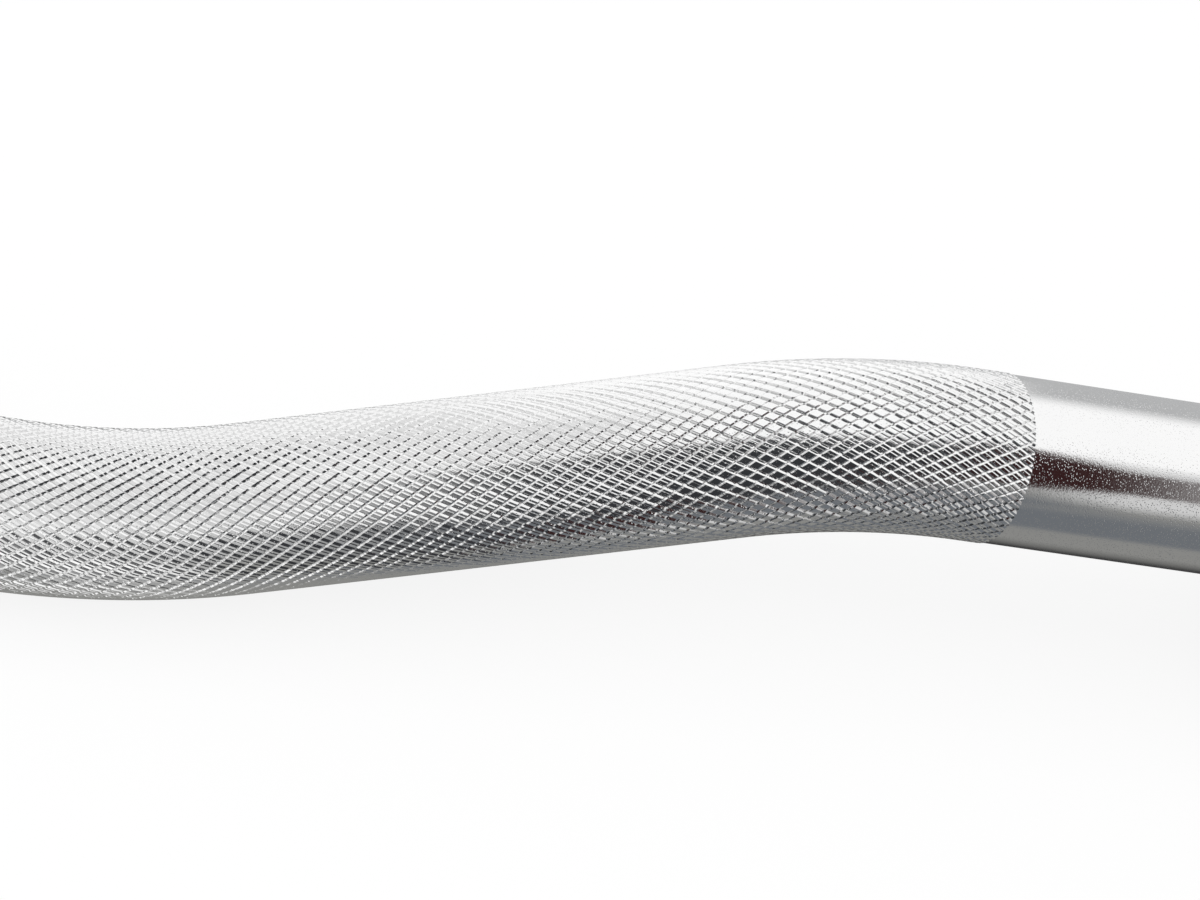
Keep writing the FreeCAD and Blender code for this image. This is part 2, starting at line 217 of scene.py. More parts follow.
# %% [markdown]
# ## From arrays to a mesh
# Every shape below is a table of points and a table of faces, both worked out by numpy at once.
# One helper writes them into a mesh. Each piece is then told which body it moves with, and the solid that
# it stands for is hidden.

# %% Helpers for meshes
def new_mesh(name, points, quads):
    """Writes points and four-cornered faces into a mesh as whole arrays."""
    mesh = bpy.data.meshes.new(name)
    mesh.vertices.add(len(points))
    mesh.vertices.foreach_set("co", points.astype(np.float32).ravel())
    mesh.loops.add(quads.size)
    mesh.loops.foreach_set("vertex_index", quads.astype(np.int32).ravel())
    mesh.polygons.add(len(quads))
    mesh.polygons.foreach_set("loop_start", np.arange(0, quads.size, quads.shape[1], dtype=np.int32))
    mesh.update(calc_edges=True)
    return mesh


def read(items, field, width, kind=np.float32):
    """Reads one field of every vertex, loop or face into an array of rows."""
    values = np.zeros(len(items) * width, kind)
    items.foreach_get(field, values)
    return values.reshape(-1, width) if width > 1 else values


def new_piece(mesh, body, node):
    """Makes the mesh a piece of the object, in the place of a solid."""
    piece = bpy.data.objects.new(mesh.name, mesh)
    bpy.context.scene.collection.objects.link(piece)
    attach(piece, body)
    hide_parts(node)
    triangles = int((read(mesh.polygons, "loop_total", 1, np.int32) - 2).sum())
    print(f"{piece.name}: {triangles} triangles on {body}, for {node}")
    return piece


# %% [markdown]
# ## The knurl
# The grips are rolled between two wheels that press in two families of grooves, each climbing round
# the bar at 30 degrees to it. What is left between them is a field of small diamond pads. One wheel
# skipped half a pitch as it came round again, which left a faint second line, the mark, down the
# middle of every pad. Rolling is rough work: along the bar the wheels take turns at pressing harder,
# and no two crossings are equally deep. A bump texture could fake all that, but the pads show in the
# outline and catch the light on their walls, so they are real faces here.

# %% Knurl sizes
GROOVES_AROUND = 50
GROOVE_SLANT = math.radians(30)

# A place across a family is a phase, in pitches. Grooves have their bottoms at whole numbers, and the
# pads lie between a family's two edges.
NARROW_EDGES = (0.17, 0.85)
NARROW_DEPTH = 0.2 * MM
WIDE_EDGES = (0.26, 0.88)
WIDE_DEPTH = 0.25 * MM
MARK_EDGES = (0.4, 0.6)
MARK_BOTTOM = 0.5
MARK_DEPTH = 0.1 * MM

# The mark nearly fades out on one stretch, at a distance outwards from the outer grip's middle.
FADE_PLACE = 46 * MM
FADE_REACH = 17 * MM
FADE_SHARE = 0.85

# How far the pressure swings from one wheel to the other, and how uneven each crossing is.
DEPTH_SWING = 0.3
SWING_LENGTH = 170 * MM
SWING_START = 0.54
UNEVEN_SEED = 4
UNEVEN_SHARES = (0.7, 1.0)
UNEVEN_STEPS = 997

groove_pitch = 2 * math.pi * GRIP_RADIUS / GROOVES_AROUND
lead = groove_pitch / math.tan(GROOVE_SLANT)
print(f"knurl pitch {groove_pitch / MM:.2f} mm around, {lead / MM:.2f} mm along")

# %% [markdown]
# ## The skin of the knurl
# An even grid would cut across the grooves and break their edges into teeth. So the mesh runs along
# the grooves: its grid lines are those of the two families, and a groove's bottom and both its edges
# are exact edges of the mesh. It is made on a straight bar, where a square cut gives clean ends.

# %% Knurl skin
SPARE_LEADS = 1
ON_CUT = 1e-8
NARROW_LINES = np.array([0, *NARROW_EDGES])
WIDE_LINES = np.array([0, WIDE_EDGES[0], MARK_EDGES[0], MARK_BOTTOM, MARK_EDGES[1], WIDE_EDGES[1]])

# Passing one narrow line also passes this many wide ones, so that a row of points runs round the bar.
SHEAR = len(WIDE_LINES) // len(NARROW_LINES)

lines_around = GROOVES_AROUND * len(NARROW_LINES)
uneven = np.random.default_rng(UNEVEN_SEED).uniform(*UNEVEN_SHARES, (lines_around, UNEVEN_STEPS))


def family_phase(line, lines):
    """The phase of a grid line: the number of its pitch, plus the place of the line in a pitch."""
    return line // len(lines) + lines[line % len(lines)]


def groove_depth(a, b, along):
    """How deep the skin lies under the pads, at phases a and b of the two families.

    It is the depth of a narrow groove where a is a whole number, of a wide one where b is one, or of
    the mark where b is at the mark's bottom. Along the bar the pressure swings from one wheel to the
    other, as a sine, so the families take turns at being the deeper. The mark fades as a bell curve.
    """
    outwards = np.abs(along) - grip_middle
    swing = DEPTH_SWING * np.sin(2 * math.pi * outwards / SWING_LENGTH + SWING_START)
    narrow = NARROW_DEPTH * (1 - swing) * (a % 1 == 0)
    wide = WIDE_DEPTH * (1 + swing) * (b % 1 == 0)
    fade = FADE_SHARE * np.exp(-(((outwards - FADE_PLACE) / FADE_REACH) ** 2))
    mark = MARK_DEPTH * (1 - fade) * (b % 1 == MARK_BOTTOM)
    return np.maximum(np.maximum(narrow, wide), mark)


def knurl_field(name, begin, end):
    """The knurled skin of a straight bar between two stations, with a flat disc at each end.

    A point is where a line of one family, of phase a, meets a line of the other, of phase b. It lies
    (a - b) / 2 leads along the bar and (a + b) / 2 pitches around it, so two wide pitches are a lead.
    Its radius is that of the pads, less the depth there, which a seeded table makes uneven. The two
    phases are kept as the UV map.
    """
    per_lead = 2 * len(WIDE_LINES)
    first = -math.ceil(end / lead + SPARE_LEADS) * per_lead
    last = -math.floor(begin / lead - SPARE_LEADS) * per_lead
    line, step = np.meshgrid(np.arange(lines_around), np.arange(first, last), indexing="ij")
    wide_line = SHEAR * line + step
    a = family_phase(line, NARROW_LINES)
    b = family_phase(wide_line, WIDE_LINES)
    along = (a - b) / 2 * lead
    angle = (a + b) * math.pi / GROOVES_AROUND
    radius = GRIP_RADIUS - groove_depth(a, b, along) * uneven[line, wide_line % UNEVEN_STEPS]
    points = np.stack([along, radius * np.cos(angle), radius * np.sin(angle)], axis=-1)

    columns = np.arange(SHEAR, last - first - 1)
    row, column = np.meshgrid(np.arange(lines_around), columns, indexing="ij")
    below = column - SHEAR
    corners = np.stack([(row, column), (row, column + 1), (row + 1, below + 1), (row + 1, below)])
    corner_row, corner_column = np.moveaxis(corners, 1, 0).reshape(2, len(corners), -1)
    quads = ((corner_row % lines_around) * (last - first) + corner_column).T
    mesh = new_mesh(name, points.reshape(-1, 3), quads)

    corner_a = family_phase(corner_row, NARROW_LINES)
    corner_b = family_phase(SHEAR * corner_row + corner_column + first, WIDE_LINES)
    phases = np.moveaxis(np.stack([corner_a, corner_b], axis=-1), 0, 1)
    mesh.uv_layers.new(name="phases").uv.foreach_set("vector", phases.astype(np.float32).ravel())
    close_ends(mesh, begin, end)
    return mesh


def close_ends(mesh, begin, end):
    """Cuts a straight bar's skin square at both stations and closes each end with a fan of triangles."""
    skin = bmesh.new()
    skin.from_mesh(mesh)
    for station, outward in ((begin, -1), (end, 1)):
        cut = bmesh.ops.bisect_plane(
            skin,
            geom=skin.verts[:] + skin.edges[:] + skin.faces[:],
            dist=ON_CUT,
            plane_co=(station, 0, 0),
            plane_no=(outward, 0, 0),
            clear_outer=True,
        )
        rim = [item for item in cut["geom_cut"] if isinstance(item, bmesh.types.BMEdge)]
        disc = bmesh.ops.holes_fill(skin, edges=rim, sides=0)
        bmesh.ops.poke(skin, faces=disc["faces"])
    bmesh.ops.recalc_face_normals(skin, faces=skin.faces)
    skin.to_mesh(mesh)
    skin.free()


print(f"{lines_around} narrow lines around, {len(WIDE_LINES)} wide lines to a pitch")

# %% [markdown]
# ## Bending and shading the knurl
# Flat faces would each mirror one spot. On the real bar a pad is what is left of the bar's own round,
# and a wall is hollow, as rolling and plating leave it. Smooth shading would smear one into the other,
# so every corner of a face is given a normal of its own. Each grip is three pieces, which meet at the
# two ends of the valley's bend.

# %% Knurled pieces
WALL_LEAN = (0.15, -0.2)
SLOPE_LEAN = (3.0, 0.5)
FOOT_DEPTH = 0.06 * MM
LEAST_RADIUS = 1e-9
SIDES = (("right", 1), ("left", -1))
SEAMS = (knurl_start, valley_start, valley_end, knurl_end)


def inside(phase, edges):
    """Whether each phase lies between two edges."""
    return (phase > edges[0]) & (phase < edges[1])


def bend_knurl(mesh):
    """Bends the straight skin to the bar's line and sets its normals.

    The mean phases of a face tell what it is. On a pad both lie clear of the grooves and of the mark,
    and its normals are those of the bar's round. All else is wall: its normal leans a little back to
    the round at its top edge, and away from it at its foot. The mark's first side is a gentle slope,
    whose normal leans far back.
    """
    straight = read(mesh.vertices, "co", 3).astype(float)
    mesh.vertices.foreach_set("co", on_bar(*straight.T).astype(np.float32).ravel())
    mesh.update()
    corner = read(mesh.loops, "vertex_index", 1, np.int32)
    face_start = read(mesh.polygons, "loop_start", 1, np.int32)
    face_size = read(mesh.polygons, "loop_total", 1, np.int32)
    phases = read(mesh.uv_layers["phases"].uv, "vector", 2).astype(float)
    a, b = (np.add.reduceat(phases, face_start) / face_size[:, None] % 1).T
    clear = inside(a, NARROW_EDGES) & inside(b, WIDE_EDGES)
    pad = clear & ~inside(b, MARK_EDGES)
    slope = clear & inside(b, (MARK_EDGES[0], MARK_BOTTOM))

    radius = np.maximum(np.hypot(straight[:, 1], straight[:, 2]), LEAST_RADIUS)
    radial = straight[:, 1:] / radius[:, None]
    round_normal = along_bar(straight[:, 0], radial[:, 0], radial[:, 1])[corner]
    wall_lean, slope_lean = (
        np.interp(GRIP_RADIUS - radius, (0, FOOT_DEPTH), lean)[corner] for lean in (WALL_LEAN, SLOPE_LEAN)
    )
    lean = np.where(np.repeat(slope, face_size), slope_lean, wall_lean)[:, None]
    face_normal = np.repeat(read(mesh.polygons, "normal", 3), face_size, axis=0)
    wall_normal = face_normal + lean * round_normal
    wall_normal /= np.linalg.norm(wall_normal, axis=1, keepdims=True)
    on_pad = np.repeat(pad, face_size)[:, None]
    mesh.shade_smooth()
    mesh.normals_split_custom_set(np.where(on_pad, round_normal, wall_normal))


knurled_pieces = []
for side_name, side in SIDES:
    for near, far, stretch in zip(SEAMS, SEAMS[1:], ("inner", "valley", "outer")):
        knurled = knurl_field(f"{side_name}_{stretch}_knurl", *sorted((side * near, side * far)))
        bend_knurl(knurled)
        knurled_pieces.append(new_piece(knurled, "shaft", "shaft"))

# %% [markdown]
# ## Turned pieces
# Everything else on the bar is round about the sleeve axis: the smooth stretches of the bar with
# their journals, the sleeves, collars, seals and end caps. A lathe makes them, and so does this
# helper: it turns an outline of distances and radii about X. Real edges are broken a little, which
# is what makes an edge catch the light, so an outline's corners can be rounded.

# %% Helpers for turned pieces
AROUND = 160
ARC_STEPS = 6
EDGE_BREAK = 0.25 * MM
FLUSH = 0
SHARP_ANGLE = math.radians(28)
WELD_REACH = 1e-7


def outline(*corners):
    """An outline from corners of (distance, radius), or (distance, radius, rounding).

    A rounded corner becomes an arc that touches both its sides. With u and v the directions to its
    neighbours and q half the angle between them, the arc's centre lies rounding / sin q along u + v.
    """
    places = np.array([corner[:2] for corner in corners], float)
    points = []
    for index, corner in enumerate(corners):
        rounding = corner[2] if len(corner) > 2 else EDGE_BREAK
        place = places[index]
        to_last = places[index - 1] - place
        to_next = places[(index + 1) % len(places)] - place
        if rounding == FLUSH or place[1] == 0:
            points.append(place[None])
            continue
        u = to_last / np.linalg.norm(to_last)
        v = to_next / np.linalg.norm(to_next)
        half = math.acos(np.clip(u @ v, -1, 1)) / 2
        middle = (u + v) / np.linalg.norm(u + v)
        sideways = (v - u) / np.linalg.norm(v - u)
        sweep = np.linspace(half - math.pi / 2, math.pi / 2 - half, ARC_STEPS)[:, None]
        centre = place + middle * rounding / math.sin(half)
        points.append(centre + rounding * (np.sin(sweep) * sideways - np.cos(sweep) * middle))
    return np.concatenate(points)


def turn(name, profile, side):
    """Turns a closed outline about X: a point at angle t is (distance, radius cos t, radius sin t).

    Points on the axis are welded to a pole. The left side is the right one with X turned round.
    """
    count = len(profile)
    angle = np.linspace(0, 2 * math.pi, AROUND, endpoint=False)[:, None]
    distance, radius = profile.T
    points = np.stack(
        [side * distance + 0 * angle, radius * np.cos(angle), radius * np.sin(angle)], axis=-1
    )
    t, p = np.meshgrid(np.arange(AROUND), np.arange(count), indexing="ij")
    next_t, next_p = (t + 1) % AROUND, (p + 1) % count
    corners = [(t, p), (t, next_p), (next_t, next_p), (next_t, p)]
    quads = np.stack([row * count + column for row, column in corners], axis=-1)
    on_axis = (radius[p] == 0) & (radius[next_p] == 0)
    mesh = new_mesh(name, points.reshape(-1, 3), quads[~on_axis])
    weld(mesh)
    mesh.set_sharp_from_angle(angle=SHARP_ANGLE)
    return mesh


def weld(mesh):
    """Joins points that lie together, as at a pole, and points all faces outwards."""
    shape = bmesh.new()
    shape.from_mesh(mesh)
    bmesh.ops.remove_doubles(shape, verts=shape.verts, dist=WELD_REACH)
    bmesh.ops.recalc_face_normals(shape, faces=shape.faces)
    shape.to_mesh(mesh)
    shape.free()
    mesh.shade_smooth()


# %% [markdown]
# ## The smooth stretches of the bar
# The middle of the bar and its two ends are plain round steel. They lie on straight runs, so they are
# turned about the sleeve axis. Each end steps down to the journal that the sleeve's bushes run on,
# with a groove for the circlip that keeps the sleeve on.

# %% Smooth bar
JOURNAL_RADIUS = 12.5 * MM
CLIP_GROOVE_RADIUS = 11.95 * MM
CLIP_PLAY = 0.1 * MM
TIP_CHAMFER = 1.5 * MM

shoulder_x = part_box("right_inner_thrust_washer")[0].x
clip_low, clip_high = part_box("right_retaining_ring")
tip_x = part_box("shaft")[1].x
knurl_end_x = float(centre_line(np.array([knurl_end]))[0][0])

middle = outline(
    (-knurl_start, 0),
    (-knurl_start, BAR_RADIUS, FLUSH),
    (knurl_start, BAR_RADIUS, FLUSH),
    (knurl_start, 0),
)
bar_end = outline(
    (knurl_end_x, 0),
    (knurl_end_x, BAR_RADIUS, FLUSH),
    (shoulder_x, BAR_RADIUS),
    (shoulder_x, JOURNAL_RADIUS),
    (clip_low.x - CLIP_PLAY, JOURNAL_RADIUS, FLUSH),
    (clip_low.x - CLIP_PLAY, CLIP_GROOVE_RADIUS, FLUSH),
    (clip_high.x, CLIP_GROOVE_RADIUS, FLUSH),
    (clip_high.x, JOURNAL_RADIUS, FLUSH),
    (tip_x - TIP_CHAMFER, JOURNAL_RADIUS),
    (tip_x, JOURNAL_RADIUS - TIP_CHAMFER),
    (tip_x, 0),
)
smooth_pieces = [new_piece(turn("middle_of_bar", middle, 1), "shaft", "shaft")]
for side_name, side in SIDES:
    turned = turn(f"{side_name}_end_of_bar", bar_end, side)
    smooth_pieces.append(new_piece(turned, "shaft", "shaft"))

# %% [markdown]
# ## The sleeve and its collar
# A sleeve is a tube that plates slide on, with a collar pressed on its inboard end as their stop. The
# outlines repeat those of the solids, with the edges broken, and far more facets round them than a
# solid's own mesh has. The tube's bore has a pocket at each end, and the outer one holds a ring.

# %% Sleeve and collar
PRESS = 0.02 * MM
BORE_RADIUS = 16 * MM
SEAT_RADIUS = 24.5 * MM
FLANGE_WIDTH = 2.4 * MM
RING_GROOVE_RADIUS = 19.6 * MM
RING_PLAY = 0.1 * MM
SLEEVE_CHAMFER = 2 * MM
HUB_RADIUS = 30 * MM
HUB_WIDTH = 5 * MM
HUB_CHAMFER = 1.5 * MM
COLLAR_ROUNDING = 3 * MM

tube_low, tube_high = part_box("right_sleeve_tube")
collar_low, collar_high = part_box("right_collar")
seal_low, seal_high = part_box("right_dust_seal")
ring_low, ring_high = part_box("right_end_cap_ring")
inner_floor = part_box("right_inner_bushing")[0].x + FLANGE_WIDTH
outer_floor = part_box("right_outer_bushing")[1].x - FLANGE_WIDTH
pocket_radius = seal_high.z + PRESS
ring_slot = ring_high.x + RING_PLAY

tube_outline = outline(
    (tube_low.x, pocket_radius),
    (tube_low.x, SEAT_RADIUS),
    (collar_high.x, SEAT_RADIUS, FLUSH),
    (collar_high.x, tube_high.z),
    (tube_high.x - SLEEVE_CHAMFER, tube_high.z),
    (tube_high.x, tube_high.z - SLEEVE_CHAMFER),
    (tube_high.x, pocket_radius),
    (ring_slot, pocket_radius, FLUSH),
    (ring_slot, RING_GROOVE_RADIUS, FLUSH),
    (ring_low.x, RING_GROOVE_RADIUS, FLUSH),
    (ring_low.x, pocket_radius, FLUSH),
    (outer_floor, pocket_radius, FLUSH),
    (outer_floor, BORE_RADIUS, FLUSH),
    (inner_floor, BORE_RADIUS, FLUSH),
    (inner_floor, pocket_radius, FLUSH),
)
collar_outline = outline(
    (collar_low.x, SEAT_RADIUS + PRESS),
    (collar_low.x, HUB_RADIUS - HUB_CHAMFER),
    (collar_low.x + HUB_CHAMFER, HUB_RADIUS),
    (collar_low.x + HUB_WIDTH, HUB_RADIUS),
    (collar_low.x + HUB_WIDTH, collar_high.z, COLLAR_ROUNDING),
    (collar_high.x, collar_high.z, COLLAR_ROUNDING),
    (collar_high.x, SEAT_RADIUS + PRESS),
)
print(f"sleeve: {(tube_high.x - collar_high.x) / MM:.0f} mm long for plates,",
      f"{2 * tube_high.z / MM:.0f} mm across")

# %% [markdown]
# ## The seal and the end cap
# A rubber seal sits in the sleeve's mouth, and its lip nearly touches the bar. A cup with a dished
# face closes the outer end. All four outlines are then turned once for each sleeve.

# %% Seal and end cap
LIP_RADIUS = 14.1 * MM
LIP_WIDTH = 1.2 * MM
LIP_HEIGHT = 1.5 * MM
SKIRT_WALL = 1.2 * MM
CAP_THICKNESS = 4 * MM
DISH_RADIUS = 12 * MM
DISH_DEPTH = 0.8 * MM

cap_low, cap_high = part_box("right_end_cap")
seal_outline = outline(
    (seal_low.x, LIP_RADIUS),
    (seal_low.x, seal_high.z),
    (seal_high.x, seal_high.z),
    (seal_high.x, LIP_RADIUS + LIP_HEIGHT),
    (seal_low.x + LIP_WIDTH + LIP_HEIGHT, LIP_RADIUS + LIP_HEIGHT),
    (seal_low.x + LIP_WIDTH, LIP_RADIUS),
)
cap_outline = outline(
    (cap_high.x - CAP_THICKNESS, 0),
    (cap_high.x - CAP_THICKNESS, cap_high.z - SKIRT_WALL),
    (cap_low.x, cap_high.z - SKIRT_WALL),
    (cap_low.x, cap_high.z),
    (cap_high.x, cap_high.z),
    (cap_high.x, DISH_RADIUS),
    (cap_high.x - DISH_DEPTH, DISH_RADIUS - DISH_DEPTH),
    (cap_high.x - DISH_DEPTH, 0),
)
SLEEVE_PIECES = [
    ("sleeve_tube", tube_outline, "sleeve_chrome"),
    ("collar", collar_outline, "sleeve_chrome"),
    ("dust_seal", seal_outline, "seal_rubber"),
    ("end_cap", cap_outline, "cap_steel"),
]
sleeve_pieces = {node: [] for node, _, _ in SLEEVE_PIECES}
for side_name, side in SIDES:
    for node, profile, slot in SLEEVE_PIECES:
        turned = turn(f"{side_name}_{node}_turned", profile, side)
        sleeve_pieces[node].append(new_piece(turned, f"{side_name}_sleeve", f"{side_name}_{node}"))

# %% [markdown]
# ## Sockets in expressions
# A finish is a small tree of nodes. Written node by node it is hard to read, so one class wraps a
# socket and turns Python's operators into Math nodes.

# %% Values
class Value:
    """A socket of a finish. Its operators add Math nodes."""

    def __init__(self, finish, socket):
        self.finish = finish
        self.socket = socket

    def __add__(self, other):
        return self.finish.math("ADD", self, other)

    def __sub__(self, other):
        return self.finish.math("SUBTRACT", self, other)

    def __rsub__(self, other):
        return self.finish.math("SUBTRACT", other, self)

    def __mul__(self, other):
        return self.finish.math("MULTIPLY", self, other)

    def __truediv__(self, other):
        return self.finish.math("DIVIDE", self, other)

    __radd__ = __add__
    __rmul__ = __mul__


# %% [markdown]
# ## Trees of nodes
# One method makes every node: it takes the node's type, its settings and what its sockets hold. The
# others are short names for what the finishes below use often.

# %% Finishes
class Finish:
    """The node tree of a material or a world."""

    def __init__(self, owner):
        owner.use_nodes = True
        self.owner = owner
        self.tree = owner.node_tree
        self.tree.nodes.clear()

    def node(self, kind, settings=None, sockets=None, output=0):
        """Makes a node, sets it up, links or fills its sockets and gives one of its outputs back."""
        made = self.tree.nodes.new(kind)
        for name, setting in (settings or {}).items():
            if name == "stops":
                set_stops(made.color_ramp, setting)
            else:
                setattr(made, name, setting)
        for name, given in (sockets or {}).items():
            if isinstance(given, Value):
                self.tree.links.new(given.socket, made.inputs[name])
            else:
                made.inputs[name].default_value = given
        return Value(self, made.outputs[output]) if len(made.outputs) else None

    def math(self, operation, *values):
        """A Math node's result for one, two or three values."""
        return self.node("ShaderNodeMath", {"operation": operation}, dict(enumerate(values)))

    def place(self):
        """The place of a point, in metres, in the frame of its piece."""
        return self.node("ShaderNodeTexCoord", output="Object")

    def parts(self, vector):
        """The three parts of a vector."""
        return [self.node("ShaderNodeSeparateXYZ", sockets={0: vector}, output=axis) for axis in "XYZ"]

    def noise(self, place, size, detail=2.0):
        """Cloudy noise about 0.5, with lumps of a given size in metres."""
        sockets = {"Vector": place, "Scale": 1 / size, "Detail": detail}
        return self.node("ShaderNodeTexNoise", sockets=sockets)

    def step(self, value, low, high):
        """0 below one value, 1 above another, and smooth between them."""
        sockets = {"Value": value, "From Min": low, "From Max": high}
        return self.node("ShaderNodeMapRange", {"interpolation_type": "SMOOTHSTEP"}, sockets)

    def within(self, value, rise, fall):
        """0 before one step and after another, and 1 between them."""
        return self.step(value, *rise) * (1 - self.step(value, *fall))

    def outside(self, value, fall, rise):
        """1 before one step and after another, and 0 between them."""
        return self.math("MAXIMUM", self.step(value, *rise), 1 - self.step(value, *fall))

    def blend(self, share, first, second):
        """Goes from one colour to another as the share goes from 0 to 1.

        A Mix node has sockets of the same names for numbers and for colours, so these go by number.
        """
        sockets = {0: share, 6: first, 7: second}
        return self.node("ShaderNodeMix", {"data_type": "RGBA"}, sockets, output=2)

    def bump(self, height, depth):
        """A normal for a height from 0 to 1 that stands up to depth metres high."""
        sockets = {"Height": height, "Distance": depth, "Strength": 1.0}
        return self.node("ShaderNodeBump", sockets=sockets)

    def surface(self, shader):
        """Makes a shader the material's surface, and gives the material back."""
        self.node("ShaderNodeOutputMaterial", sockets={"Surface": shader})
        return self.owner


def set_stops(ramp, stops):
    """Gives a colour ramp its stops, from left to right."""
    while len(ramp.elements) < len(stops):
        ramp.elements.new(1)
    for element, (position, colour) in zip(ramp.elements, stops):
        element.position = position
        element.color = colour


def grey(level, warmth=0.0):
    """A grey of a given level, with more red and less blue where warmth is above 0."""
    return (level * (1 + warmth), level, level * (1 - warmth), 1)


def metal(finish, colour, roughness, height, depth):
    """A bare metal whose bump stands up to depth metres high."""
    sockets = {
        "Base Color": colour,
        "Metallic": 1.0,
        "Roughness": roughness,
        "Normal": finish.bump(height, depth),
    }
    return finish.surface(finish.node("ShaderNodeBsdfPrincipled", sockets=sockets))


def new_finish(name):
    """The empty tree of a new material."""
    return Finish(bpy.data.materials.new(name))


def dress(pieces, material):
    """Gives each piece one finish, in place of any that it has."""
    for piece in pieces:
        piece.data.materials.clear()
        piece.data.materials.append(material)
    print(f"{material.name}: {len(material.node_tree.nodes)} nodes on {len(pieces)} pieces")


# %% [markdown]
# ## Chrome on the smooth steel
# Plating on a bar that was never polished to a mirror keeps a fine pebble, like orange peel. It hardly
# shows in a bright reflection, but a dark one breaks up into sparkling specks. The pebble is made of
# soft swells and round pits, some tenths of a millimetre wide and at most a few hundredths deep.

# %% Smooth chrome
CHROME_LEVELS = (0.86, 0.92)
CHROME_WARMTH = 0.004
TONE_SIZE = 30 * MM
HAZE_SIZE = 4 * MM
HAZE_DETAIL = 4.0
HAZE_ROUGHNESS = 0.06
SWELL_SHARE = 0.4
PIT_SLOPE = (0.02, 0.32)


def pebbles(finish, place, size):
    """Height of orange peel of a given size.

    It is a share of a cloudy noise, plus a step that is 0 near each of many scattered points, which
    makes a pit there, and 1 away from them.
    """
    swell = finish.noise(place, size)
    nearest = finish.node("ShaderNodeTexVoronoi", sockets={"Vector": place, "Scale": 1 / size})
    return SWELL_SHARE * swell + finish.step(nearest, *PIT_SLOPE)


def pebbled_chrome(name, size, depth, roughness):
    """Chrome with pebbles of a given size and depth, a faint cloud of tones and a faint haze."""
    finish = new_finish(name)
    place = finish.place()
    low, high = CHROME_LEVELS
    tone = finish.noise(place, TONE_SIZE)
    colour = finish.blend(tone, grey(low, -CHROME_WARMTH), grey(high, CHROME_WARMTH))
    rough = roughness + HAZE_ROUGHNESS * finish.noise(place, HAZE_SIZE, HAZE_DETAIL)
    return metal(finish, colour, rough, pebbles(finish, place, size), depth)


bar_chrome = pebbled_chrome("bar_chrome", size=0.31 * MM, depth=0.024 * MM, roughness=0.07)
sleeve_chrome = pebbled_chrome("sleeve_chrome", size=0.7 * MM, depth=0.008 * MM, roughness=0.08)
dress(smooth_pieces, bar_chrome)
dress(sleeve_pieces["sleeve_tube"] + sleeve_pieces["collar"], sleeve_chrome)

# %% [markdown]
# ## Chrome on the knurl
# The pads between the grooves are skins of the bar's own round that the wheels dragged a little, so
# each pad is faintly rippled along one family of grooves, here more and there less. The phases in the
# UV map say where a point lies on its pad, so the ripples follow the knurl round the bends. The plating
# has the same pebble as on the smooth steel, only coarser.

# %% Knurled chrome
RIPPLES_PER_PITCH = 4
RIPPLE_SHARE = 0.1
RIPPLE_PATCH = 2.2 * MM
KNURL_TONE_SIZE = 25 * MM
KNURL_HAZE_SIZE = 3 * MM
KNURL_HAZE_DETAIL = 3.0
KNURL_HAZE_ROUGHNESS = 0.1
KNURL_ROUGHNESS = 0.08
KNURL_PEBBLE_SIZE = 0.5 * MM
KNURL_PEBBLE_DEPTH = 0.02 * MM


def knurled_chrome():
    """Chrome with pebbles and with ripples: a cosine of the phase across the wide family."""
    finish = new_finish("knurl_chrome")
    place = finish.place()
    _, across, _ = finish.parts(finish.node("ShaderNodeUVMap", {"uv_map": "phases"}))
    ripples = finish.math("COSINE", across * (2 * math.pi * RIPPLES_PER_PITCH))
    patches = finish.noise(place, RIPPLE_PATCH)
    low, high = CHROME_LEVELS
    colour = finish.blend(finish.noise(place, KNURL_TONE_SIZE), grey(low), grey(high))
    haze = finish.noise(place, KNURL_HAZE_SIZE, KNURL_HAZE_DETAIL)
    rough = KNURL_ROUGHNESS + KNURL_HAZE_ROUGHNESS * haze
    height = RIPPLE_SHARE * ripples * patches + pebbles(finish, place, KNURL_PEBBLE_SIZE)
    return metal(finish, colour, rough, height, KNURL_PEBBLE_DEPTH)


dress(knurled_pieces, knurled_chrome())

# %% [markdown]
# ## Rubber, bronze and plain steel
# The seal is matt rubber. The end cap is turned steel, whose fine rings run round its axis. What sits
# inside a sleeve is bearing bronze, ground washers and dark sprung rings. Those solids keep their own
# meshes, and get finishes of their own.

# %% Small finishes
STAIN_SIZE = 6 * MM
STAIN_ROUGHNESS = 0.2
NOISE_MIDDLE = 0.5
GRAIN_SIZE = 0.3 * MM
GRAIN_DEPTH = 0.03 * MM
DUST_SIZE = 5 * MM
DUST_ROUGHNESS = 0.25
RUBBER_ROUGHNESS = 0.55
RUBBER_LEVELS = (0.02, 0.05)
FINE_DETAIL = 4.0
COARSE_DETAIL = 3.0

# Each turned metal: its two tones, the spacing and the depth of its rings, and its roughness.
TURNED_METALS = {
    "cap_steel": (grey(0.5), grey(0.66), 0.25 * MM, 0.01 * MM, 0.24),
    "bush_bronze": ((0.5, 0.32, 0.13, 1), (0.7, 0.5, 0.25, 1), 0.3 * MM, 0.01 * MM, 0.3),
    "washer_steel": (grey(0.45), grey(0.6), 0.2 * MM, 0.006 * MM, 0.3),
    "spring_steel": (grey(0.07), grey(0.16), 0.5 * MM, 0.01 * MM, 0.4),
}


